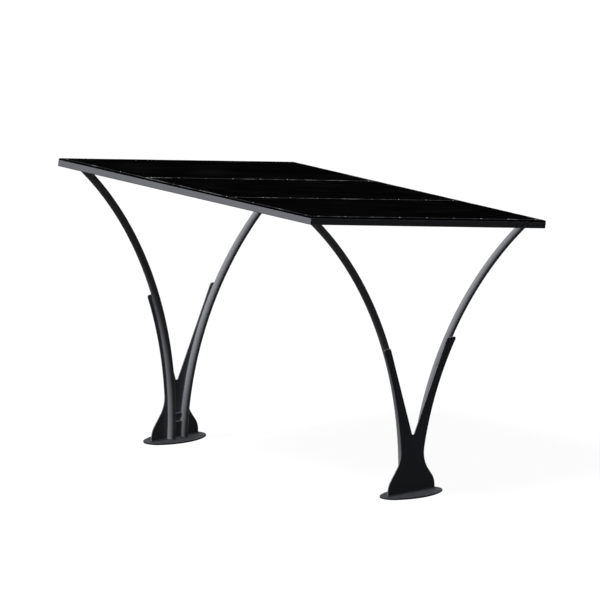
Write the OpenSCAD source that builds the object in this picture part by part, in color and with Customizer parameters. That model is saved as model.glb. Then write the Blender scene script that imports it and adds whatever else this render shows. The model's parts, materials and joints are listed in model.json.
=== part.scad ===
// Bike shelter: a flat sheet roof on two forked columns of curved tube.
// Millimetres. X runs along the eaves, Y falls towards the low eave, Z is up.
// The origin lies on the ground, under the middle of the roof.

/* [Roof] */
// Length of the roof along the eaves
roof_length = 3000; // [2400:50:4000]
// Depth of the roof, measured down its slope
roof_depth = 2580; // [2400:4:2900]
// Fall of the roof towards the low eave, in degrees
roof_pitch = 9; // [6:0.5:12]
// Height of the frame's underside above the ground at mid roof
roof_mid_height = 2192; // [2050:1:2350]
// Distance that the columns stand back from mid roof, towards the high eave
column_setback = 94; // [40:1:160]

/* [Roof frame] */
// Depth of the frame tubes, square to the roof
frame_depth = 54; // [40:1:90]
// Wall of the frame tubes
frame_wall = 3; // [2:0.5:4]
// Outer corner radius of the frame tubes
frame_corner = 6; // [4.5:0.5:9]
// Width of the mitred rails around the roof
rail_width = 100; // [60:1:140]
// Width of the beam over each column
beam_width = 64; // [50:1:100]
// Width of the rafter under each sheet joint
rafter_width = 60; // [40:1:100]

/* [Sheets and strips] */
// Thickness of the roof sheets
sheet_thickness = 12; // [10:0.5:24]
// Radius of the sheets' rounded outer edges
sheet_round = 10; // [4:0.5:16]
// Gap between two neighbouring sheets
sheet_gap = 6; // [3:0.5:12]
// Width of the strips that cover the sheet joints and edges
strip_width = 14; // [10:0.5:60]
// Thickness of the strips along their sides
strip_thickness = 1.5; // [1:0.5:5]
// Rise of the strips' rounded tops above their sides
strip_crown = 0.5; // [0.5:0.5:5]
// Set-back of the edge strips from the sheets' rounded edges
strip_margin = 4; // [1:1:20]

/* [Curved tubes] */
// Outer diameter of the curved tubes
tube_d = 63.5; // [48:0.5:76]
// Wall of the curved tubes
tube_wall = 4; // [2.5:0.5:6]
// Distance from the high eave to the middle of the tubes' heads there, down the slope
high_head_inset = 179; // [150:1:260]
// Foot of the tube to the high eave, from the column's middle
high_foot = 70; // [55:1:85]
// Lean of that tube at its foot, towards the low eave, in degrees
high_lean = 4; // [2:0.1:6]
// Distance from the low eave to the middle of the tubes' heads there, up the slope
low_head_inset = 145; // [130:1:240]
// Foot of the tube to the low eave, from the column's middle
low_foot = 65; // [55:1:85]
// Lean of that tube at its foot, towards the low eave, in degrees
low_lean = 2.3; // [0:0.1:4]
// Length of the plate on each tube's head, down the slope
head_length = 220; // [180:1:300]
// Width of the plate on each tube's head
head_width = 120; // [80:1:160]
// Thickness of the plate on each tube's head
head_thickness = 10; // [6:1:16]
// Corner radius of the plate on each tube's head
head_corner = 16; // [6:1:30]

/* [Fork plates] */
// Thickness of the fork plates
fork_thickness = 8; // [5:1:14]
// Width of the fork plates at the ground plate
fork_foot_width = 504; // [460:1:540]
// Height of the toes' upright edges above the ground plate
toe_upright = 30; // [10:1:50]
// Radius of the round toes above their upright edges
toe_radius = 150; // [120:1:180]
// Lean of the straight flanks between the toes and the throat, in degrees
flank_lean = 36.9; // [34:0.1:42]
// Radius of the hollow throat above the flanks
throat_radius = 227; // [180:1:270]
// Height above the ground plate at which the arms' outer edges turn out from the tubes
throat_height = 330; // [280:1:360]
// Overhang of the fork plates at the throat, past the outside of the tubes to the high eave
high_overhang = 10; // [4:1:20]
// Overhang of the fork plates at the throat, past the outside of the tubes to the low eave
low_overhang = 4; // [2:1:20]
// Angle at which the arms' outer edges leave the tubes above the throat, in degrees
edge_turn = 0.65; // [0:0.05:1]
// Height of the middle of the crotch's round above the ground plate
crotch_height = 486; // [440:1:560]
// Place of that round from the column's middle, towards the low eave
crotch_offset = 22; // [10:1:34]
// Radius of the crotch
crotch_radius = 16; // [8:1:24]
// Lean of the slot's side next to the tube to the high eave, in degrees
slot_lean_high = 17.4; // [16:0.1:19]
// Lean of the slot's side next to the tube to the low eave, in degrees
slot_lean_low = 25.9; // [24:0.1:28]
// Height of the arms' level tips above the ground plate
tip_height = 1210; // [1000:1:1250]
// Radius of the tips' corners
tip_round = 15; // [6:0.5:20]
// Clearance between the tubes and what they are welded to
weld_gap = 0.3; // [0.1:0.1:1]

/* [Ground plates] */
// Length of the oval ground plates, along the slope
base_length = 600; // [560:1:700]
// Width of the oval ground plates, along the eaves
base_width = 340; // [300:1:400]
// Thickness of the ground plates
base_thickness = 12; // [8:1:20]
// Radius of the ground plates' round ends
base_end_radius = 116; // [100:1:145]
// Diameter of the anchor holes
anchor_hole_d = 18; // [10:1:24]
// Spacing of the anchor holes along the eaves
anchor_spacing_x = 180; // [160:1:200]
// Spacing of the anchor holes along the slope
anchor_spacing_y = 400; // [360:1:420]

/* [Foot pieces] */
// Height of the tie plate between the two tubes
tie_height = 140; // [100:1:150]
// Thickness of the tie plate
tie_thickness = 10; // [6:1:16]
// Radius of the drain arch in the tie plate's foot
arch_radius = 24; // [12:1:28]
// Diameter of the spacer bar between the two tubes
spacer_d = 45; // [30:1:56]
// Height of the spacer bar's middle above the ground plate
spacer_height = 184; // [180:1:240]

/* [Hidden] */

steel = "#68696c";
black = "#0b0b0c";
aluminium = "#8c9095";

cut = 1;
round_fn = 64;
arc_fn = 720;

// Bite of the fork plates' rounds into the edges that they run into, so that the two lines cross
bite = 0.1;

// Spare angle of the bent tubes past their seats, which is cut away
spare_foot = 1;
spare_head = 3;

tube_r = tube_d / 2;
inner_corner = max(frame_corner - frame_wall, 0.5);
edge_round = min(sheet_round, sheet_thickness - cut);
roof_top = frame_depth + sheet_thickness;

// Shift that brings the middle of the leaning roof's outline over the origin
roof_y = -((edge_round - frame_corner) * (1 - cos(roof_pitch))
    + (roof_top - edge_round + frame_corner) * sin(roof_pitch)) / 2;

column_x = roof_length / 2 - rail_width - beam_width / 2;
column_y = roof_y - column_setback;
plate_x = column_x + tube_r + weld_gap + fork_thickness / 2;
joint_x = roof_length / 6;
strip_edge = edge_round + strip_margin;
strip_x = roof_length / 2 - strip_edge - strip_width / 2;
strip_y = roof_depth / 2 - strip_edge - strip_width / 2;
reach = roof_length + roof_depth;

// Places in a column's own plane: [towards the low eave, above the ground plate]
slope_dir = [cos(roof_pitch), -sin(roof_pitch)];
roof_up = [sin(roof_pitch), cos(roof_pitch)];
seat_middle = [column_setback, roof_mid_height - base_thickness] - head_thickness * roof_up;

// Heads of the tubes: down the slope from mid roof, and in the column's plane
high_head_s = high_head_inset - roof_depth / 2;
low_head_s = roof_depth / 2 - low_head_inset;
high_head = seat_middle + high_head_s * slope_dir;
low_head = seat_middle + low_head_s * slope_dir;

// Bends that leave the feet at their leans and end at the heads
high_start = [-high_foot, 0];
low_start = [low_foot, 0];
high_normal = [-cos(high_lean), sin(high_lean)];
low_normal = [cos(low_lean), -sin(low_lean)];
high_radius = bend_radius(high_head - high_start, high_normal);
low_radius = bend_radius(low_head - low_start, low_normal);
high_centre = high_start + high_radius * high_normal;
low_centre = low_start + low_radius * low_normal;

// Circles of the fork plates' outer edges: each keeps its overhang at the throat and turns out from there
high_edge_radius = high_radius - tube_r - high_overhang;
low_edge_radius = low_radius - tube_r - low_overhang;
high_pivot = [high_centre[0] + half_chord(high_edge_radius, throat_height - high_centre[1]), throat_height];
low_pivot = [low_centre[0] - half_chord(low_edge_radius, throat_height - low_centre[1]), throat_height];
high_edge_centre = turned(high_centre, high_pivot, edge_turn);
low_edge_centre = turned(low_centre, low_pivot, -edge_turn);

// Half the chord of a circle at a distance from its middle
function half_chord(radius, distance) = sqrt(pow(radius, 2) - pow(distance, 2));

// Point turned about a pivot, in degrees
function turned(point, pivot, angle) =
    pivot + [[cos(angle), -sin(angle)], [sin(angle), cos(angle)]] * (point - pivot);

// Radius of an arc that leaves a point square to normal and ends at rise from that point
function bend_radius(rise, normal) = rise * rise / (2 * rise * normal);

// Direction from a bending centre to a point, in degrees
function direction(centre, point) = atan2(point[1] - centre[1], point[0] - centre[0]);

// Outer edges of the fork plate at a height above the ground plate, or lines an inset within them
function high_edge(z, inset = 0) =
    high_edge_centre[0] + half_chord(high_edge_radius + inset, z - high_edge_centre[1]);
function low_edge(z, inset = 0) =
    low_edge_centre[0] - half_chord(low_edge_radius + inset, z - low_edge_centre[1]);

// Sides of the fork's slot at a height above the ground plate, or lines an inset within the arms
function slot_high(z, inset = 0) = crotch_offset
    - (crotch_radius - bite + inset) / cos(slot_lean_high) - (z - crotch_height) * tan(slot_lean_high);
function slot_low(z, inset = 0) = crotch_offset
    + (crotch_radius - bite + inset) / cos(slot_lean_low) + (z - crotch_height) * tan(slot_lean_low);

function unit(v) = v / norm(v);

// Puts its children on the roof: X along the eaves, Y down the slope, Z square to the roof
module on_roof() {
    translate([0, roof_y, roof_mid_height]) rotate([-roof_pitch, 0, 0]) children();
}

// Stands a flat outline, drawn in a column's plane, upright along X
module upright(x) {
    translate([x, column_y, base_thickness]) rotate([90, 0, 90]) children();
}

// Left-hand copy of a right-hand piece
module left_hand() {
    mirror([1, 0, 0]) children();
}

module rounded_rect(width, height, r) {
    translate([r, 0]) square([width - 2 * r, height]);
    translate([0, r]) square([width, height - 2 * r]);
    for (x = [r, width - r], y = [r, height - r])
        translate([x, y]) circle(r = r, $fn = round_fn);
}

// Ground plates

// Oval of four tangent arcs: two round ends and two long sides
module oval() {
    end_y = base_length / 2 - base_end_radius;
    half = base_width / 2;
    side_radius = (end_y * end_y + half * half - pow(base_end_radius, 2)) / (2 * (half - base_end_radius));
    tangent_y = side_radius * sin(atan2(end_y, side_radius - half));
    for (side = [-1, 1])
        translate([0, side * end_y]) circle(r = base_end_radius, $fn = arc_fn);
    intersection() {
        translate([half - side_radius, 0]) circle(r = side_radius, $fn = arc_fn);
        translate([side_radius - half, 0]) circle(r = side_radius, $fn = arc_fn);
        translate([-half, -tangent_y]) square([base_width, 2 * tangent_y]);
    }
}

module base_plate() {
    translate([plate_x, column_y, 0])
        difference() {
            linear_extrude(base_thickness) oval();
            for (sx = [-1, 1], sy = [-1, 1])
                translate([sx * anchor_spacing_x / 2, sy * anchor_spacing_y / 2, -cut])
                    cylinder(d = anchor_hole_d, h = base_thickness + 2 * cut, $fn = round_fn);
        }
}

module left_base_plate() { color(steel) left_hand() base_plate(); }
module right_base_plate() { color(steel) base_plate(); }

// Fork plates

// Half of the flared foot, from the middle out: an upright edge, a round toe, a straight flank
// and a hollow throat that runs into the arm's outer edge, whose circle is given
module flared_half(edge_centre, edge_radius) {
    half = fork_foot_width / 2;
    out = [cos(flank_lean), sin(flank_lean)];
    along = [-out[1], out[0]];
    toe = [half - toe_radius, toe_upright];
    depth = toe * out + toe_radius + throat_radius - 2 * bite - edge_centre * out;
    throat = edge_centre + depth * out + half_chord(edge_radius - throat_radius + bite, depth) * along;
    top = edge_centre + edge_radius * unit(throat - edge_centre);
    square([half, toe_upright]);
    intersection() {
        translate(toe) circle(r = toe_radius, $fn = arc_fn);
        translate([0, toe_upright]) square([half + cut, toe_radius + cut]);
    }
    difference() {
        polygon([
            [0, 0],
            [toe[0], 0],
            toe,
            toe + (toe_radius - bite) * out,
            throat - (throat_radius - bite) * out,
            throat,
            [throat[0], top[1]],
            [0, top[1]]
        ]);
        translate(throat) circle(r = throat_radius, $fn = arc_fn);
    }
}

// Slot between the arms: straight sides that run into the round of the crotch
module crotch_slot() {
    high_out = [-cos(slot_lean_high), -sin(slot_lean_high)];
    low_out = [cos(slot_lean_low), -sin(slot_lean_low)];
    high_up = [-sin(slot_lean_high), cos(slot_lean_high)];
    low_up = [sin(slot_lean_low), cos(slot_lean_low)];
    half = crotch_radius - bite;
    length = 2 * (tip_height - crotch_height);
    translate([crotch_offset, crotch_height]) {
        circle(r = crotch_radius, $fn = round_fn);
        polygon([
            half * high_out,
            half * low_out,
            half * low_out + length * low_up,
            half * high_out + length * high_up
        ]);
    }
}

// What a tip loses at a corner: edge is the corner's place, c the middle of its round,
// and toward points from there to where the round meets the arm's side
module tip_corner(edge, c, toward) {
    difference() {
        polygon([
            [edge + cut * sign(toward[0]), tip_height + cut],
            [c[0], tip_height + cut],
            c,
            c + (tip_round + cut) * toward
        ]);
        translate(c) circle(r = tip_round, $fn = round_fn);
    }
}

module tip_corners() {
    z = tip_height - tip_round;
    inset = tip_round - bite;
    high_outer = [high_edge(z, inset), z];
    low_outer = [low_edge(z, inset), z];
    high_inner = [slot_high(z, inset), z];
    low_inner = [slot_low(z, inset), z];
    tip_corner(high_edge(tip_height), high_outer, unit(high_edge_centre - high_outer));
    tip_corner(low_edge(tip_height), low_outer, unit(low_edge_centre - low_outer));
    tip_corner(slot_high(tip_height), high_inner, [cos(slot_lean_high), sin(slot_lean_high)]);
    tip_corner(slot_low(tip_height), low_inner, [-cos(slot_lean_low), sin(slot_lean_low)]);
}

module fork_outline() {
    difference() {
        translate([-tip_height, 0]) square([2 * tip_height, tip_height]);
        translate(high_edge_centre) circle(r = high_edge_radius, $fn = arc_fn);
        translate(low_edge_centre) circle(r = low_edge_radius, $fn = arc_fn);
        crotch_slot();
        tip_corners();
    }
    flared_half(low_edge_centre, low_edge_radius);
    mirror([1, 0]) flared_half([-high_edge_centre[0], high_edge_centre[1]], high_edge_radius);
}

module fork_plate() {
    upright(plate_x - fork_thickness / 2) linear_extrude(fork_thickness) fork_outline();
}

module left_fork_plate() { color(steel) left_hand() fork_plate(); }
module right_fork_plate() { color(steel) fork_plate(); }

// Curved tubes

// Arc of tube about its bending centre, with the section drawn by its child
module arc(centre, radius, from, to) {
    upright(column_x) translate(centre) rotate([0, 0, from])
        rotate_extrude(angle = to - from, $fn = arc_fn) translate([radius, 0]) children();
}

module tube_section() {
    difference() {
        circle(d = tube_d, $fn = round_fn);
        circle(d = tube_d - 2 * tube_wall, $fn = round_fn);
    }
}

// Cuts its child flat on the ground plate and under the head plates
module cut_to_seats() {
    difference() {
        children();
        translate([-reach, -reach, base_thickness - reach]) cube([2 * reach, 2 * reach, reach]);
        on_roof() translate([-reach, -reach, -head_thickness]) cube([2 * reach, 2 * reach, reach]);
    }
}

module high_arc() {
    to = direction(high_centre, high_head) + spare_head;
    arc(high_centre, high_radius, -high_lean - spare_foot, to) children();
}

module low_arc() {
    from = direction(low_centre, low_head) - spare_head;
    arc(low_centre, low_radius, from, 180 - low_lean + spare_foot) children();
}

module high_tube() { cut_to_seats() high_arc() tube_section(); }
module low_tube() { cut_to_seats() low_arc() tube_section(); }

module left_high_tube() { color(steel) left_hand() high_tube(); }
module right_high_tube() { color(steel) high_tube(); }
module left_low_tube() { color(steel) left_hand() low_tube(); }
module right_low_tube() { color(steel) low_tube(); }

// Foot pieces between the tubes

module clear_of_tubes() {
    difference() {
        children();
        high_arc() circle(d = tube_d + 2 * weld_gap, $fn = round_fn);
        low_arc() circle(d = tube_d + 2 * weld_gap, $fn = round_fn);
    }
}

module tie_plate() {
    middle = (low_foot - high_foot) / 2;
    clear_of_tubes()
        upright(column_x - tie_thickness / 2) linear_extrude(tie_thickness)
            difference() {
                translate([-high_foot, 0]) square([high_foot + low_foot, tie_height]);
                translate([middle, 0]) circle(r = arch_radius, $fn = round_fn);
            }
}

module spacer_bar() {
    clear_of_tubes()
        translate([column_x, column_y - high_foot, base_thickness + spacer_height])
            rotate([-90, 0, 0]) cylinder(d = spacer_d, h = high_foot + low_foot, $fn = round_fn);
}

module left_tie_plate() { color(steel) left_hand() tie_plate(); }
module right_tie_plate() { color(steel) tie_plate(); }
module left_spacer_bar() { color(steel) left_hand() spacer_bar(); }
module right_spacer_bar() { color(steel) spacer_bar(); }

// Head plates under the roof frame

module head_plate(place) {
    on_roof() translate([column_x - head_width / 2, place - head_length / 2, -head_thickness])
        linear_extrude(head_thickness) rounded_rect(head_width, head_length, head_corner);
}

module left_high_head() { color(steel) left_hand() head_plate(high_head_s); }
module right_high_head() { color(steel) head_plate(high_head_s); }
module left_low_head() { color(steel) left_hand() head_plate(low_head_s); }
module right_low_head() { color(steel) head_plate(low_head_s); }

// Roof frame

// Rectangular tube along X, centred on its length, from y = 0 to y = width
module box_tube(length, width) {
    rotate([90, 0, 90]) linear_extrude(length, center = true)
        difference() {
            rounded_rect(width, frame_depth, frame_corner);
            translate([frame_wall, frame_wall])
                rounded_rect(width - 2 * frame_wall, frame_depth - 2 * frame_wall, inner_corner);
        }
}

// Rectangular tube down the slope between the two eave rails, centred on x
module slope_tube(x, width) {
    on_roof() translate([x + width / 2, 0, 0]) rotate([0, 0, 90])
        box_tube(roof_depth - 2 * rail_width, width);
}

// Rail with mitred ends along the -Y side of a rectangle, length by depth, about the middle
module mitred_rail(length, depth) {
    inner = rail_width + cut;
    intersection() {
        translate([0, -depth / 2, 0]) box_tube(length + 2 * cut, rail_width);
        translate([0, 0, -cut]) linear_extrude(frame_depth + 2 * cut) polygon([
            [-length / 2 - cut, -depth / 2 - cut],
            [length / 2 + cut, -depth / 2 - cut],
            [length / 2 - inner, inner - depth / 2],
            [inner - length / 2, inner - depth / 2]
        ]);
    }
}

module left_beam() { color(steel) slope_tube(-column_x, beam_width); }
module right_beam() { color(steel) slope_tube(column_x, beam_width); }
module left_rafter() { color(steel) slope_tube(-joint_x, rafter_width); }
module right_rafter() { color(steel) slope_tube(joint_x, rafter_width); }

module high_rail() { color(steel) on_roof() mitred_rail(roof_length, roof_depth); }
module low_rail() { color(steel) on_roof() rotate([0, 0, 180]) mitred_rail(roof_length, roof_depth); }
module left_end_rail() { color(steel) on_roof() rotate([0, 0, -90]) mitred_rail(roof_depth, roof_length); }
module right_end_rail() { color(steel) on_roof() rotate([0, 0, 90]) mitred_rail(roof_depth, roof_length); }

// Sheets and cover strips

// What a sheet loses at a rounded top edge: the edge at the origin, the sheet on +X and below
module edge_cut() {
    difference() {
        translate([-cut, -edge_round]) square([edge_round + cut, edge_round + cut]);
        translate([edge_round, -edge_round]) circle(r = edge_round, $fn = round_fn);
    }
}

module sheet_profile(from, to, round_from, round_to) {
    difference() {
        translate([from, 0]) square([to - from, sheet_thickness]);
        if (round_from) translate([from, sheet_thickness]) edge_cut();
        if (round_to) translate([to, sheet_thickness]) mirror([1, 0]) edge_cut();
    }
}

// Sheet on the frame, rounded along both eaves and along the ends that lie at the roof's edge
module sheet(from, to, round_from = false, round_to = false) {
    on_roof() translate([0, 0, frame_depth])
        intersection() {
            rotate([90, 0, 0]) linear_extrude(roof_depth + 2 * cut, center = true)
                sheet_profile(from, to, round_from, round_to);
            rotate([90, 0, 90]) linear_extrude(roof_length + 2 * cut, center = true)
                sheet_profile(-roof_depth / 2, roof_depth / 2, true, true);
        }
}

module left_sheet() { color(black) sheet(-roof_length / 2, -joint_x - sheet_gap / 2, round_from = true); }
module middle_sheet() { color(black) sheet(-joint_x + sheet_gap / 2, joint_x - sheet_gap / 2); }
module right_sheet() { color(black) sheet(joint_x + sheet_gap / 2, roof_length / 2, round_to = true); }

// Flat strip with a rounded top, across its width
module strip_profile() {
    height = strip_thickness + strip_crown;
    crown_radius = (pow(strip_width / 2, 2) + pow(strip_crown, 2)) / (2 * strip_crown);
    intersection() {
        translate([-strip_width / 2, 0]) square([strip_width, height]);
        translate([0, height - crown_radius]) circle(r = crown_radius, $fn = arc_fn);
    }
}

// Strip along an eave, over the whole flat length of the sheets
module eave_strip(y) {
    on_roof() translate([0, y, roof_top]) rotate([90, 0, 90])
        linear_extrude(2 * strip_x + strip_width, center = true) strip_profile();
}

// Strip down the slope between the eave strips
module slope_strip(x) {
    on_roof() translate([x, 0, roof_top]) rotate([90, 0, 0])
        linear_extrude(2 * strip_y - strip_width, center = true) strip_profile();
}

module left_joint_strip() { color(aluminium) slope_strip(-joint_x); }
module right_joint_strip() { color(aluminium) slope_strip(joint_x); }
module left_edge_strip() { color(aluminium) slope_strip(-strip_x); }
module right_edge_strip() { color(aluminium) slope_strip(strip_x); }
module high_edge_strip() { color(aluminium) eave_strip(-strip_y); }
module low_edge_strip() { color(aluminium) eave_strip(strip_y); }

left_base_plate();
right_base_plate();
left_fork_plate();
right_fork_plate();
left_tie_plate();
right_tie_plate();
left_spacer_bar();
right_spacer_bar();
left_high_tube();
right_high_tube();
left_low_tube();
right_low_tube();
left_high_head();
right_high_head();
left_low_head();
right_low_head();
left_beam();
right_beam();
left_rafter();
right_rafter();
high_rail();
low_rail();
left_end_rail();
right_end_rail();
left_sheet();
middle_sheet();
right_sheet();
left_joint_strip();
right_joint_strip();
high_edge_strip();
low_edge_strip();
left_edge_strip();
right_edge_strip();
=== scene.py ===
"""Finishes, welds, fixings and studio of the bike shelter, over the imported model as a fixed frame."""
import json
import math

import bmesh
import bpy
import numpy as np
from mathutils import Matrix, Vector

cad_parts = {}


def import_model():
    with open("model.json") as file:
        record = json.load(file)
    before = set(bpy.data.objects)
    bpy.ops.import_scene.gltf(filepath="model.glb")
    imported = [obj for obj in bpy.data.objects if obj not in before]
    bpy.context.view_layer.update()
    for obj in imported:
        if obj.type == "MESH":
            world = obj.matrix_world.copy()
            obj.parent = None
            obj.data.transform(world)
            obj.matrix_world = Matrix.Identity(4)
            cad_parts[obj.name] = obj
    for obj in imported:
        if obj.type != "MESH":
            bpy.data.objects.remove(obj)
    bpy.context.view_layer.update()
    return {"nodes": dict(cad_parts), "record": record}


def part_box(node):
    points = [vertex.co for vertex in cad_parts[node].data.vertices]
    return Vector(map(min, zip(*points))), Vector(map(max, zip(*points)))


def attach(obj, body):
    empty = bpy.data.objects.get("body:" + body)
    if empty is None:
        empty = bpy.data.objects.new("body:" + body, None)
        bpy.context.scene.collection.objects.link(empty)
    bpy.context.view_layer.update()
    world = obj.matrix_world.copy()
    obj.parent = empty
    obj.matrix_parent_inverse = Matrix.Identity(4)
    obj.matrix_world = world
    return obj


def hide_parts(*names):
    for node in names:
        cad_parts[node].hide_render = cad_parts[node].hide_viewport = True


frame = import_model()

NODES = frame["nodes"]
SIDES = {"left": -1.0, "right": 1.0}


# Sizes, in metres and degrees

# Photo's view: the camera's turn and rise, the picture's width, its middle across and up
# from the origin, the camera's distance and how far it sees
VIEW_TURN = 47.6
VIEW_RISE = 12.27
VIEW_WIDTH = 4.807
VIEW_ACROSS = -0.0156
VIEW_UP = 1.3189
VIEW_AWAY = 12.0
VIEW_END = 200.0

# Key light: where it comes from, the lamps' distance, how wide it looks, its power in watts
# per square metre, and the share of it that casts shadows
KEY_FROM = (-0.18, -0.465, 0.866)
KEY_AWAY = 10.0
KEY_SPREAD = 18.0
KEY_POWER = 4.6
KEY_SHADOW_SHARE = 0.15

# Low, slightly cool light from all round
FILL = (0.008, 0.009, 0.0115)

# Floor: half its side, its tones to the camera and to other rays, and its glow to the camera
FLOOR_HALF = 60.0
FLOOR_DARK = (0.398, 0.398, 0.398)
FLOOR_PALE = (0.404, 0.404, 0.404)
FLOOR_BOUNCE = (0.04, 0.04, 0.04, 1)
FLOOR_GLOW = 0.53

# Foot of each tube from the column's middle, and its lean there towards its own eave, as in the
# part's source
FEET = {"high": (-0.070, -4.0), "low": (0.065, 2.3)}

# Weld beads: legs, share and pitch of the ripples, a second wave in radians per metre and its
# share of the first, shares by which a bead bulges and sinks into its corner, and by which it
# thins at its ends
BEAD_LEG = 0.007
BEAD_SMALL_LEG = 0.005
BEAD_RIPPLE = 0.09
BEAD_PITCH = 0.006
BEAD_SECOND_WAVE = 371.0
BEAD_SECOND_SHARE = 0.5
BEAD_BULGE = 0.22
BEAD_SINK = 0.12
BEAD_END = 0.02

# Points across a bead, in each ripple, at least in a bead and round a corner
BEAD_FACE_POINTS = 5
BEAD_RIPPLE_POINTS = 4
BEAD_LEAST_POINTS = 8
BEAD_CORNER_POINTS = 5

# Sharpest angles that are shaded smooth, in degrees: on beads and bars, fixings and the seal
COLUMN_SMOOTH = 60.0
FIXING_SMOOTH = 35.0
SEAL_SMOOTH = 50.0

# Part of a tube's foot that its bead leaves to the fork plate, in degrees
PLATE_SIDE_OPEN = 80.0

# Height of the slice in which the foot of a fork plate is measured
FOOT_SLICE = 0.001

# Beads in the grooves between tubes and fork plates: distance from the plate's ends, root and
# reach on the plate from under the tube's middle, and climb round the tube, in degrees
GROOVE_END = 0.02
GROOVE_ROOT = 0.006
GROOVE_REACH = 0.012
GROOVE_CLIMB = 31.0

# Beads of the tie plates: distance from the plates' feet and tops
TIE_BEAD_FOOT = 0.004
TIE_BEAD_TOP = 0.002

# Spacer bars: how far the flat lies from the axis towards the fork plate, the rounding of its
# edges and the points round each
SPACER_FLAT = 0.004
SPACER_EDGE = 0.004
SPACER_EDGE_POINTS = 8

# Screws along the strips: their spacing, distance from the strips' ends and number of sides, and
# radius and height of each ring of the head
SCREW_PITCH = 0.30
SCREW_END = 0.07
SCREW_SIDES = 18
SCREW_HEAD = (
    (0.0040, -0.0006), (0.0040, 0.0004), (0.0033, 0.0014),
    (0.0020, 0.0019), (0.0014, 0.0019), (0.0014, 0.0008),
)

# Button bolts under the head plates: distance from the plates' edges, number of sides, and rings
# of washer and head
BOLT_IN_X = 0.026
BOLT_IN_SLOPE = 0.030
BOLT_SIDES = 28
BOLT_WASHER = ((0.0120, -0.0003), (0.0120, 0.0008), (0.0116, 0.0012))
BOLT_HEAD = (
    (0.0095, 0.0010), (0.0092, 0.0022), (0.0072, 0.0037),
    (0.0050, 0.0042), (0.0040, 0.0042), (0.0040, 0.0020),
)

# Rubber seal between the roof frame and the sheets: its radius, its depth in from the frame's
# sides and below the frame's top, and its number of sides
SEAL_RADIUS = 0.003
SEAL_DEPTH = 0.0035
SEAL_BELOW = 0.0021
SEAL_SIDES = 10


# Places read from the frame

def vertices(name):
    """Points of a CAD node in the row frame."""
    obj = NODES[name]
    flat = np.empty(len(obj.data.vertices) * 3)
    obj.data.vertices.foreach_get("co", flat)
    turn = np.array(obj.matrix_world)
    return flat.reshape(-1, 3) @ turn[:3, :3].T + turn[:3, 3]


def reach(name, axis):
    """Lowest and highest place of a CAD node along an axis."""
    along = vertices(name) @ axis
    return along.min(), along.max()


def roof_normal():
    """Direction that the flat top of the roof faces."""
    sheet = NODES["middle_sheet"]
    tops = [face for face in sheet.data.polygons if face.normal.z > 0]
    top = max(tops, key=lambda face: face.area)
    return np.array(sheet.matrix_world.to_3x3() @ top.normal)


X = np.array((1.0, 0.0, 0.0))
Y = np.array((0.0, 1.0, 0.0))
Z = np.array((0.0, 0.0, 1.0))
ROOF_UP = roof_normal()
DOWN_SLOPE = np.array((0.0, ROOF_UP[2], -ROOF_UP[1]))
COLUMN_Y = frame["record"]["mounts"][0]["pos_m"][1]
BASE_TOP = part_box("right_base_plate")[1][2]
TUBE_LOW, TUBE_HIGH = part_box("right_low_tube")
TUBE_RADIUS = (TUBE_HIGH[0] - TUBE_LOW[0]) / 2
COLUMN_X = (TUBE_HIGH[0] + TUBE_LOW[0]) / 2


def on_roof(x, slope, height):
    """Point of the roof from its place across, down the slope and above the slope."""
    return x * X + slope * DOWN_SLOPE + height * ROOF_UP


# Mesh building

def loft(rings, closed=False):
    """Skin over closed loops of points, capped at both ends unless the last joins the first."""
    count, around = rings.shape[:2]
    faces = []
    for i in range(count if closed else count - 1):
        a = i * around
        b = (i + 1) % count * around
        for j in range(around):
            k = (j + 1) % around
            faces.append((a + j, a + k, b + k, b + j))
    if not closed:
        faces.append(tuple(reversed(range(around))))
        faces.append(tuple(range((count - 1) * around, count * around)))
    return rings.reshape(-1, 3), faces


def turned(profile, sides, place, axis):
    """Solid of rings about an axis square to X, from pairs of radius and height."""
    side = np.cross(axis, X)
    side /= np.linalg.norm(side)
    other = np.cross(axis, side)
    angles = np.arange(sides) * 2 * np.pi / sides
    circle = np.outer(np.cos(angles), side) + np.outer(np.sin(angles), other)
    return loft(np.array([place + height * axis + radius * circle for radius, height in profile]))


def bead(path, first, second, closed=False):
    """Rippled weld bead along a corner, reaching along its two surfaces by first and second."""
    steps = np.linalg.norm(np.diff(path, axis=0), axis=1)
    along = np.concatenate(([0.0], np.cumsum(steps)))
    wave = np.sin(2 * np.pi * along / BEAD_PITCH)
    wave += BEAD_SECOND_SHARE * np.sin(along * BEAD_SECOND_WAVE)
    size = 1 + BEAD_RIPPLE * wave
    if not closed:
        leg = np.linalg.norm(first, axis=1)
        left = np.minimum(along, along[-1] - along) / leg
        size *= np.sqrt(1 - (1 - np.clip(left, BEAD_END, 1)) ** 2)
    share = np.linspace(0, 1, BEAD_FACE_POINTS)[None, :, None]
    middle = first + second
    bulge = BEAD_BULGE * np.sin(np.pi * share) * middle[:, None, :]
    reach_out = first[:, None, :] * (1 - share) + second[:, None, :] * share + bulge
    skin = path[:, None, :] + size[:, None, None] * reach_out
    root = (path - BEAD_SINK * middle)[:, None, :]
    return loft(np.concatenate((root, skin), axis=1), closed)


def spaced(length):
    """Number of samples that a bead of this length takes."""
    return max(BEAD_LEAST_POINTS, int(math.ceil(length / BEAD_PITCH * BEAD_RIPPLE_POINTS)))


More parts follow.
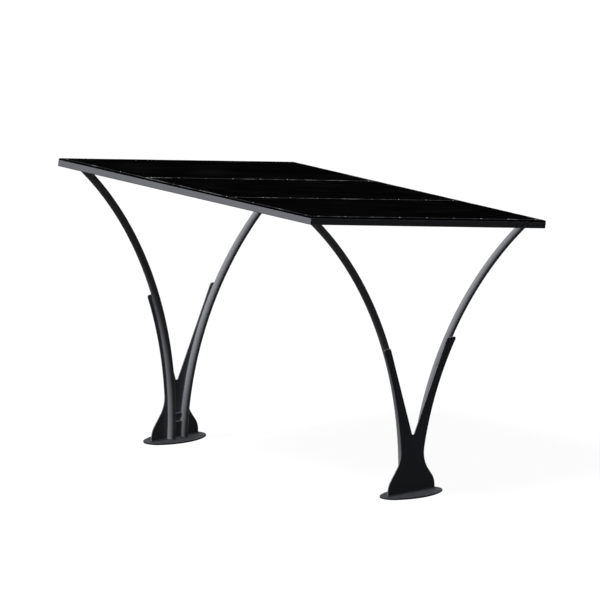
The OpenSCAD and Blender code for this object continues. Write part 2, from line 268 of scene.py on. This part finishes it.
def piece(name, parts, material, smooth=FIXING_SMOOTH):
    """One object of several solids, with its finish, riding the body."""
    points = []
    faces = []
    start = 0
    for part_points, part_faces in parts:
        points.append(part_points)
        faces += [tuple(start + i for i in face) for face in part_faces]
        start += len(part_points)
    mesh = bpy.data.meshes.new(name)
    mesh.from_pydata(np.concatenate(points).tolist(), [], faces)
    shell = bmesh.new()
    shell.from_mesh(mesh)
    bmesh.ops.recalc_face_normals(shell, faces=shell.faces)
    for edge in shell.edges:
        edge.smooth = edge.calc_face_angle(0.0) < math.radians(smooth)
    for face in shell.faces:
        face.smooth = True
    shell.to_mesh(mesh)
    shell.free()
    mesh.materials.append(material)
    obj = bpy.data.objects.new(name, mesh)
    bpy.context.scene.collection.objects.link(obj)
    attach(obj, "root")
    return obj


# Node helpers

def feed(tree, socket, value):
    """Links an output to an input, or sets the input's value."""
    if isinstance(value, bpy.types.NodeSocket):
        tree.links.new(value, socket)
    else:
        socket.default_value = value


def add(tree, kind, inputs, **settings):
    """New shader node with its settings and inputs."""
    made = tree.nodes.new("ShaderNode" + kind)
    for key, value in settings.items():
        setattr(made, key, value)
    for key, value in inputs.items():
        feed(tree, made.inputs[key], value)
    return made


def noise(tree, scale, stretch=(1, 1, 1), detail=3.0):
    """Noise over the object's own metres, with scale in grains per metre."""
    place = add(tree, "TexCoord", {})
    spread = add(tree, "Mapping", {"Vector": place.outputs["Object"], "Scale": stretch})
    grain = add(tree, "TexNoise", {"Vector": spread.outputs["Vector"], "Scale": scale, "Detail": detail})
    return grain.outputs["Fac"]


def ramp(tree, factor, low, high, start=0.3, end=0.7):
    """Colour that runs from low to high as the factor runs from start to end."""
    made = add(tree, "ValToRGB", {"Fac": factor})
    for element, place, colour in zip(made.color_ramp.elements, (start, end), (low, high)):
        element.position = place
        element.color = (*colour, 1)
    return made.outputs["Color"]


def ranged(tree, value, low, high, start=0.3, end=0.7):
    """Value carried from the range start to end over to low to high."""
    inputs = {"Value": value, "From Min": start, "From Max": end, "To Min": low, "To Max": high}
    return add(tree, "MapRange", inputs).outputs["Result"]


def times(tree, first, second):
    """Product of two values."""
    made = add(tree, "Math", {0: first, 1: second}, operation="MULTIPLY")
    return made.outputs["Value"]


def mixed(tree, factor, under, over, blend="MIX"):
    """One colour over another by a factor."""
    made = tree.nodes.new("ShaderNodeMix")
    made.data_type = "RGBA"
    made.blend_type = blend
    feed(tree, made.inputs[0], factor)
    feed(tree, made.inputs[6], under)
    feed(tree, made.inputs[7], over)
    return made.outputs[2]


def bumped(tree, height, strength, distance):
    """Normal pushed about by a height."""
    made = add(tree, "Bump", {"Height": height, "Strength": strength, "Distance": distance})
    return made.outputs["Normal"]


def finish(name):
    """New material, its node tree and its main shader."""
    made = bpy.data.materials.new(name)
    made.use_nodes = True
    return made, made.node_tree, made.node_tree.nodes["Principled BSDF"]


def set_shader(tree, shader, inputs):
    """Feeds several inputs of a shader."""
    for key, value in inputs.items():
        feed(tree, shader.inputs[key], value)


# Materials

def powder_coat(name, low, high, rough_low, rough_high, gloss, dust):
    """Grey powder coat: fine orange peel, a little dust by the ground and on flat tops."""
    made, tree, shader = finish(name)
    broad = ramp(tree, noise(tree, 2.5), low, high)
    speckle = ramp(tree, noise(tree, 420.0), (0.90, 0.90, 0.90), (1.0, 1.0, 1.0))
    coat = mixed(tree, 1.0, broad, speckle, "MULTIPLY")
    geometry = add(tree, "NewGeometry", {})
    height = add(tree, "SeparateXYZ", {"Vector": geometry.outputs["Position"]}).outputs["Z"]
    facing = add(tree, "SeparateXYZ", {"Vector": geometry.outputs["Normal"]}).outputs["Z"]
    near_ground = ranged(tree, height, 0.35, 0.0, 0.0, 0.35)
    patchy = ranged(tree, noise(tree, 14.0, detail=6.0), 0.1, 1.0, 0.35, 0.65)
    splash = times(tree, near_ground, patchy)
    splashed = mixed(tree, splash, coat, dust)
    level = times(tree, ranged(tree, facing, 0.0, 0.25, 0.8, 1.0), patchy)
    dusty = mixed(tree, level, splashed, dust)
    peel = bumped(tree, noise(tree, 260.0, detail=2.0), 0.10, 0.0006)
    rough = ranged(tree, noise(tree, 6.0), rough_low, rough_high)
    set_shader(tree, shader, {
        "Base Color": dusty, "Roughness": rough, "Specular IOR Level": gloss, "Normal": peel,
    })
    return made


def sheet_plastic():
    """Black matte sheet with fine walls running down the slope and a thin film of dust."""
    made, tree, shader = finish("sheet_plastic")
    tone = ramp(tree, noise(tree, 3.0, (1, 0.15, 1)), (0.0009, 0.0009, 0.0010), (0.0018, 0.0018, 0.0020))
    dust = ranged(tree, noise(tree, 9.0, (1, 0.2, 1), 6.0), 0.0, 0.12, 0.5, 0.8)
    film = mixed(tree, dust, tone, (0.025, 0.0245, 0.024, 1))
    place = add(tree, "TexCoord", {})
    walls = add(tree, "TexWave", {"Vector": place.outputs["Object"], "Scale": 16.0}, bands_direction="X")
    ribs = bumped(tree, walls.outputs["Fac"], 0.06, 0.0005)
    rough = ranged(tree, noise(tree, 30.0), 0.75, 0.9)
    set_shader(tree, shader, {
        "Base Color": film, "Roughness": rough, "Specular IOR Level": 0.0, "Normal": ribs,
    })
    return made


def strip_metal(name, stretch):
    """Dull aluminium, drawn along the strip and dark with weather in long patches."""
    made, tree, shader = finish(name)
    drawn = noise(tree, 300.0, stretch, 4.0)
    tone = ramp(tree, drawn, (0.10, 0.102, 0.106), (0.24, 0.245, 0.255))
    weather = ranged(tree, noise(tree, 5.0, detail=2.0), 0.96, 0.0, 0.50, 0.60)
    dull = mixed(tree, weather, tone, (0.008, 0.008, 0.009, 1))
    rough = ranged(tree, drawn, 0.5, 0.62)
    set_shader(tree, shader, {
        "Base Color": dull, "Roughness": rough, "Specular IOR Level": 0.01,
        "Normal": bumped(tree, drawn, 0.08, 0.0003),
    })
    return made


def screw_steel():
    """Stainless steel of the screws and bolts, slightly dulled."""
    made, tree, shader = finish("screw_steel")
    tone = ramp(tree, noise(tree, 180.0), (0.30, 0.30, 0.31), (0.40, 0.40, 0.41))
    rough = ranged(tree, noise(tree, 90.0), 0.30, 0.45)
    set_shader(tree, shader, {"Base Color": tone, "Metallic": 0.6, "Roughness": rough})
    return made


def rubber():
    """Black rubber of the roof's seal."""
    made, tree, shader = finish("rubber")
    tone = ramp(tree, noise(tree, 120.0), (0.008, 0.008, 0.008), (0.014, 0.014, 0.014))
    rough = ranged(tree, noise(tree, 60.0), 0.7, 0.85)
    set_shader(tree, shader, {"Base Color": tone, "Roughness": rough, "Specular IOR Level": 0.1})
    return made


COAT = powder_coat(
    "powder_coat", (0.172, 0.179, 0.193), (0.190, 0.197, 0.213), 0.50, 0.60, 0.03, (0.175, 0.174, 0.172, 1))
# Tubes: the same powder coat as COAT, made lighter. The lighter base is a painted highlight that stands in
# for the shine of the tubes' rounded sides.
TUBE_COAT_PAINTED_HIGHLIGHT = powder_coat(
    "tube_coat_painted_highlight", (0.232, 0.238, 0.253), (0.259, 0.265, 0.281), 0.38, 0.46, 0.04, (0.20, 0.20, 0.20, 1))
GROUND_COAT = powder_coat(
    "ground_coat", (0.027, 0.029, 0.034), (0.033, 0.035, 0.041), 0.50, 0.60, 0.03, (0.05, 0.050, 0.050, 1))
SHEET = sheet_plastic()
STRIP_ACROSS = strip_metal("strip_metal_across", (0.02, 1, 1))
STRIP_DOWN = strip_metal("strip_metal_down", (1, 0.02, 0.1))
STEEL = screw_steel()
RUBBER = rubber()

EAVE_STRIPS = ("high_edge_strip", "low_edge_strip")
SLOPE_STRIPS = ("left_edge_strip", "left_joint_strip", "right_joint_strip", "right_edge_strip")


def material_of(name):
    """Finish of a CAD node."""
    if name.endswith("_sheet"):
        return SHEET
    if name in EAVE_STRIPS:
        return STRIP_ACROSS
    if name in SLOPE_STRIPS:
        return STRIP_DOWN
    if name.endswith("_tube"):
        return TUBE_COAT_PAINTED_HIGHLIGHT
    if name.endswith("_base_plate"):
        return GROUND_COAT
    return COAT


for node_name, node in NODES.items():
    node.data.materials.clear()
    node.data.materials.append(material_of(node_name))


# Welds on the columns

class Bend:
    """Centre line of one curved tube, in its own upright plane."""

    def __init__(self, which, side):
        foot, lean = FEET[which]
        self.x = SIDES[side] * COLUMN_X
        self.turn = math.copysign(1.0, foot)
        self.inwards = -self.turn
        self.lean = math.radians(lean)
        self.foot = np.array((self.x, COLUMN_Y + foot, BASE_TOP))
        head = "%s_%s_head" % (side, which)
        slope = sum(reach(head, DOWN_SLOPE)) / 2
        self.head = on_roof(self.x, slope, reach(head, ROOF_UP)[0])
        across = (self.head[1] - self.foot[1]) * self.turn
        rise = self.head[2] - self.foot[2]
        self.radius = (across ** 2 + rise ** 2) / 2 / (
            across * math.cos(self.lean) - rise * math.sin(self.lean))

    def at(self, swing):
        """Points of the centre line at angles from the foot, and directions to the bend's hollow side."""
        angle = self.lean + swing
        y = self.radius * (np.cos(self.lean) - np.cos(angle)) * self.turn
        z = self.radius * (np.sin(angle) - np.sin(self.lean))
        flat = np.zeros_like(angle)
        points = self.foot + np.stack((flat, y, z), axis=1)
        hollow = np.stack((flat, np.cos(angle) * self.turn, -np.sin(angle)), axis=1)
        return points, hollow

    def swing_to(self, height):
        """Angle from the foot at which the centre line reaches a height."""
        return math.asin((height - self.foot[2]) / self.radius + math.sin(self.lean)) - self.lean

    def run(self, swing):
        """Direction of the tube at an angle from the foot."""
        angle = self.lean + swing
        return np.array((0.0, math.sin(angle) * self.turn, math.cos(angle)))


def ring_bead(centre, run, plane_x, plane_y, open_angle):
    """Bead where a tube meets a plate, round its oval section in the plate's face but for an open angle."""
    closed = open_angle == 0
    count = spaced(TUBE_RADIUS * (2 * np.pi - open_angle))
    angles = np.linspace(open_angle / 2, 2 * np.pi - open_angle / 2, count, endpoint=not closed)
    longer = 1 / math.sqrt(1 - float(plane_y @ run) ** 2)
    out = np.outer(np.cos(angles), plane_x) + np.outer(np.sin(angles) * longer, plane_y)
    path = centre + TUBE_RADIUS * out
    along_plate = out / np.linalg.norm(out, axis=1)[:, None] * BEAD_LEG
    along_tube = np.tile(run * BEAD_LEG, (count, 1))
    return bead(path, along_plate, along_tube, closed)


def foot_ring(bend, side):
    """Bead round a tube's foot, open where the fork plate stands."""
    towards = SIDES[side] * X
    return ring_bead(bend.foot, bend.run(0.0), towards, Y, math.radians(PLATE_SIDE_OPEN))


def head_ring(bend):
    """Bead round a tube's head, under its head plate."""
    run = -bend.run(bend.swing_to(bend.head[2]))
    return ring_bead(bend.head, run, X, DOWN_SLOPE, 0.0)


def plate_beads(bend, side):
    """Two beads in the grooves between a tube and its fork plate."""
    inner_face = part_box(side + "_fork_plate")[0 if side == "right" else 1][0]
    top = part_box(side + "_fork_plate")[1][2]
    first = bend.swing_to(BASE_TOP + GROOVE_END)
    last = bend.swing_to(top - GROOVE_END)
    swings = np.linspace(first, last, spaced(bend.radius * (last - first)))
    middle, hollow = bend.at(swings)
    climb = math.radians(GROOVE_CLIMB)
    beads = []
    for way in (1.0, -1.0):
        root = middle + way * hollow * GROOVE_ROOT
        root[:, 0] = inner_face
        on_plate = way * hollow * GROOVE_REACH
        rim = middle + way * hollow * TUBE_RADIUS * math.sin(climb)
        rim[:, 0] = bend.x + SIDES[side] * TUBE_RADIUS * math.cos(climb)
        beads.append(bead(root, on_plate, rim - root))
    return beads


def fork_foot(side):
    """Bead round the foot of a fork plate."""
    low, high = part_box(side + "_fork_plate")
    half = (high[0] - low[0]) / 2
    middle = (high[0] + low[0]) / 2
    foot = vertices(side + "_fork_plate")
    foot = foot[foot[:, 2] < BASE_TOP + FOOT_SLICE]
    near, far = foot[:, 1].min(), foot[:, 1].max()
    corners = [(half, near), (half, far), (-half, far), (-half, near)]
    path = []
    out = []
    for i, (x, y) in enumerate(corners):
        after = corners[(i + 1) % len(corners)]
        facing = -90.0 + 90.0 * i
        for turn in np.linspace(facing, facing + 90.0, BEAD_CORNER_POINTS):
            path.append((middle + x, y, BASE_TOP))
            out.append((math.cos(math.radians(turn)), math.sin(math.radians(turn)), 0.0))
        count = spaced(abs(after[0] - x) + abs(after[1] - y))
        for share in np.linspace(0, 1, count)[1:-1]:
            path.append((middle + x + (after[0] - x) * share, y + (after[1] - y) * share, BASE_TOP))
            out.append(out[-1])
    path = np.array(path)
    out = np.array(out) * BEAD_LEG
    up = np.tile(Z * BEAD_LEG, (len(path), 1))
    return bead(path, out, up, closed=True)


def tie_beads(bend, side):
    """Upright beads between a tube and the faces of the tie plate."""
    low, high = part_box(side + "_tie_plate")
    half = (high[0] - low[0]) / 2
    inwards = bend.inwards
    foot = low[2] + TIE_BEAD_FOOT
    top = high[2] - TIE_BEAD_TOP
    heights = np.linspace(foot, top, spaced(high[2] - low[2]))
    swings = np.array([bend.swing_to(z) for z in heights])
    middle = bend.at(swings)[0]
    depth = math.sqrt(TUBE_RADIUS ** 2 - half ** 2)
    beads = []
    for face in (1.0, -1.0):
        path = middle.copy()
        path[:, 0] += face * half
        path[:, 1] += inwards * depth
        on_tie = np.tile((0.0, inwards * BEAD_SMALL_LEG, 0.0), (len(path), 1))
        slip = np.array((face * depth, -inwards * half, 0.0)) / TUBE_RADIUS
        on_tube = np.tile(slip * BEAD_SMALL_LEG, (len(path), 1))
        beads.append(bead(path, on_tie, on_tube))
    return beads


def spacer_outline(side):
    """Half-round outline about a spacer bar's axis: places towards the fork plate and up, and facing."""
    low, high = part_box(side + "_spacer_bar")
    radius = (high[2] - low[2]) / 2
    inner = radius - SPACER_EDGE
    turn = math.acos((SPACER_FLAT + SPACER_EDGE) / inner)
    corner = inner * math.sin(turn)
    back = np.linspace(-turn, turn, spaced(2 * turn * radius))
    upper = np.linspace(turn, math.pi, SPACER_EDGE_POINTS)[1:]
    lower = np.linspace(math.pi, 2 * math.pi - turn, SPACER_EDGE_POINTS)[:-1]
    front = np.linspace(corner, -corner, spaced(2 * corner))[1:-1]
    towards = np.concatenate((
        radius * np.cos(back),
        SPACER_FLAT + SPACER_EDGE * (1 + np.cos(upper)),
        np.full_like(front, SPACER_FLAT),
        SPACER_FLAT + SPACER_EDGE * (1 + np.cos(lower)),
    ))
    up = np.concatenate((
        radius * np.sin(back),
        corner + SPACER_EDGE * np.sin(upper),
        front,
        -corner + SPACER_EDGE * np.sin(lower),
    ))
    facing = np.concatenate((back, upper, np.full_like(front, math.pi), lower))
    return towards, up, facing


def spacer_end(bend, side):
    """Outline of a spacer bar's end on a tube, and the directions out from it over the tube's skin."""
    low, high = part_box(side + "_spacer_bar")
    towards, up, facing = spacer_outline(side)
    across = SIDES[side] * towards
    heights = (high[2] + low[2]) / 2 + up
    middle = bend.at(np.array([bend.swing_to(z) for z in heights]))[0]
    depth = bend.inwards * np.sqrt(TUBE_RADIUS ** 2 - across ** 2)
    path = middle + np.stack((across, depth, np.zeros_like(across)), axis=1)
    out_x = SIDES[side] * np.cos(facing)
    over = np.stack((out_x, -across * out_x / depth, np.sin(facing)), axis=1)
    return path, over / np.linalg.norm(over, axis=1)[:, None]


def spacer_bead(bend, side):
    """Bead round the end of the spacer bar on a tube."""
    path, over = spacer_end(bend, side)
    on_bar = np.tile((0.0, bend.inwards * BEAD_SMALL_LEG, 0.0), (len(path), 1))
    return bead(path, on_bar, over * BEAD_SMALL_LEG, closed=True)


def spacer_bar(side):
    """Half-round bar between the tubes' feet, its flat to the inside, in the place of the round one."""
    ends = [spacer_end(Bend(which, side), side)[0] for which in FEET]
    bar = piece(side + "_half_round_bar", [loft(np.array(ends))], COAT, COLUMN_SMOOTH)
    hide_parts(side + "_spacer_bar")


def foot_welds(side):
    """Weld beads on one ground plate, as one piece."""
    parts = [fork_foot(side)]
    parts += [foot_ring(Bend(which, side), side) for which in FEET]
    piece(side + "_foot_welds", parts, GROUND_COAT, COLUMN_SMOOTH)


def column_welds(side):
    """Weld beads of one column above its ground plate, as one piece."""
    parts = []
    for which in FEET:
        bend = Bend(which, side)
        parts.append(head_ring(bend))
        parts.append(spacer_bead(bend, side))
        parts += plate_beads(bend, side)
        parts += tie_beads(bend, side)
    piece(side + "_column_welds", parts, COAT, COLUMN_SMOOTH)


for side_name in SIDES:
    spacer_bar(side_name)
    foot_welds(side_name)
    column_welds(side_name)


# Fixings of the roof

def screw_places(name):
    """Points along the crown of a strip where its screws stand."""
    along, across = (X, DOWN_SLOPE) if name in EAVE_STRIPS else (DOWN_SLOPE, X)
    start, end = reach(name, along)
    middle = sum(reach(name, across)) / 2
    top = reach(name, ROOF_UP)[1]
    count = int(round((end - start - 2 * SCREW_END) / SCREW_PITCH)) + 1
    places = np.linspace(start + SCREW_END, end - SCREW_END, count)
    return [place * along + middle * across + top * ROOF_UP for place in places]


def strip_screws():
    """Pan head screws along all strips."""
    screws = []
    for name in EAVE_STRIPS + SLOPE_STRIPS:
        screws += [turned(SCREW_HEAD, SCREW_SIDES, place, ROOF_UP) for place in screw_places(name)]
    piece("strip_screws", screws, STEEL)


def head_bolts():
    """Four button bolts with washers up through each head plate."""
    bolts = []
    for side in SIDES:
        for which in FEET:
            name = "%s_%s_head" % (side, which)
            under = reach(name, ROOF_UP)[0]
            left, right = reach(name, X)
            top, low = reach(name, DOWN_SLOPE)
            for x in (left + BOLT_IN_X, right - BOLT_IN_X):
                for slope in (top + BOLT_IN_SLOPE, low - BOLT_IN_SLOPE):
                    place = on_roof(x, slope, under)
                    bolts.append(turned(BOLT_WASHER, BOLT_SIDES, place, -ROOF_UP))
                    bolts.append(turned(BOLT_HEAD, BOLT_SIDES, place, -ROOF_UP))
    piece("head_bolts", bolts, STEEL)


def roof_seal():
    """Rubber cord in the groove between the roof frame and the edges of the sheets."""
    half_x = reach("high_rail", X)[1]
    top = reach("high_rail", DOWN_SLOPE)[0]
    low = reach("low_rail", DOWN_SLOPE)[1]
    middle = (top + low) / 2
    half_slope = (low - top) / 2
    height = reach("high_rail", ROOF_UP)[1] - SEAL_BELOW
    angles = np.arange(SEAL_SIDES) * 2 * np.pi / SEAL_SIDES
    rings = []
    for way_x, way_slope in ((1, 1), (-1, 1), (-1, -1), (1, -1)):
        ring = []
        for angle in angles:
            out = SEAL_RADIUS * math.cos(angle) - SEAL_DEPTH
            up = SEAL_RADIUS * math.sin(angle)
            slope = middle + way_slope * (half_slope + out)
            ring.append(on_roof(way_x * (half_x + out), slope, height + up))
        rings.append(ring)
    piece("roof_seal", [loft(np.array(rings), closed=True)], RUBBER, SEAL_SMOOTH)


strip_screws()
head_bolts()
roof_seal()


# Studio

def seen_ray(tree):
    """One for rays from the camera and for mirrored or clear rays, else nought."""
    path = add(tree, "LightPath", {})
    either = add(tree, "Math", {
        0: path.outputs["Is Camera Ray"], 1: path.outputs["Is Glossy Ray"]}, operation="MAXIMUM")
    every = add(tree, "Math", {
        0: either.outputs["Value"], 1: path.outputs["Is Transmission Ray"]}, operation="MAXIMUM")
    return every.outputs["Value"]


def floor():
    """Pale floor, white to the camera where it is lit, that keeps the object's shadow."""
    half = FLOOR_HALF
    corners = [(-half, -half, 0), (half, -half, 0), (half, half, 0), (-half, half, 0)]
    mesh = bpy.data.meshes.new("floor")
    mesh.from_pydata(corners, [], [(0, 1, 2, 3)])
    made = bpy.data.materials.new("floor_white")
    made.use_nodes = True
    tree = made.node_tree
    tree.nodes.clear()
    seen = seen_ray(tree)
    grain = ramp(tree, noise(tree, 4.0), FLOOR_DARK, FLOOR_PALE)
    tone = mixed(tree, seen, FLOOR_BOUNCE, grain)
    matte = add(tree, "BsdfDiffuse", {"Color": tone}).outputs["BSDF"]
    strength = ranged(tree, seen, 0.0, FLOOR_GLOW, 0.0, 1.0)
    glow = add(tree, "Emission", {"Strength": strength}).outputs["Emission"]
    both = add(tree, "AddShader", {0: matte, 1: glow}).outputs["Shader"]
    below = add(tree, "NewGeometry", {}).outputs["Backfacing"]
    clear = add(tree, "BsdfTransparent", {}).outputs["BSDF"]
    out = add(tree, "MixShader", {0: below, 1: both, 2: clear}).outputs["Shader"]
    add(tree, "OutputMaterial", {"Surface": out})
    mesh.materials.append(made)
    obj = bpy.data.objects.new("floor", mesh)
    bpy.context.scene.collection.objects.link(obj)


def world():
    """White behind the object, a low and slightly cool even fill on it."""
    made = bpy.data.worlds.new("studio")
    bpy.context.scene.world = made
    made.use_nodes = True
    tree = made.node_tree
    back = tree.nodes["Background"]
    colour = ramp(tree, seen_ray(tree), FILL, (1, 1, 1), 0.0, 1.0)
    feed(tree, back.inputs["Color"], colour)
    back.inputs["Strength"].default_value = 1.0


def aim(obj, place, target):
    """Puts an object at a place, looking at a target."""
    obj.location = place
    obj.rotation_euler = (Vector(target) - Vector(place)).to_track_quat("-Z", "Y").to_euler()


def key_lamp(name, share, casts):
    """Broad, distant soft lamp from the photo's lit side, with or without shadows."""
    lamp = bpy.data.lights.new(name, "SUN")
    lamp.angle = math.radians(KEY_SPREAD)
    lamp.energy = KEY_POWER * share
    lamp.use_shadow = casts
    obj = bpy.data.objects.new(name, lamp)
    bpy.context.scene.collection.objects.link(obj)
    aim(obj, KEY_AWAY * Vector(KEY_FROM), (0, 0, 0))


def camera():
    """Parallel camera at the photo's angle."""
    turn = math.radians(VIEW_TURN)
    rise = math.radians(VIEW_RISE)
    right = Vector((math.cos(turn), math.sin(turn), 0))
    up = Vector((-math.sin(turn) * math.sin(rise), math.cos(turn) * math.sin(rise), math.cos(rise)))
    back = right.cross(up)
    lens = bpy.data.cameras.new("photo_view")
    lens.type = "ORTHO"
    lens.ortho_scale = VIEW_WIDTH
    lens.clip_end = VIEW_END
    obj = bpy.data.objects.new("photo_view", lens)
    bpy.context.scene.collection.objects.link(obj)
    middle = VIEW_ACROSS * right + VIEW_UP * up
    aim(obj, middle + VIEW_AWAY * back, middle)
    bpy.context.scene.camera = obj


floor()
world()
key_lamp("key", KEY_SHADOW_SHARE, True)
key_lamp("key_fill", 1.0 - KEY_SHADOW_SHARE, False)
camera()
bpy.context.scene.view_settings.view_transform = "Standard"
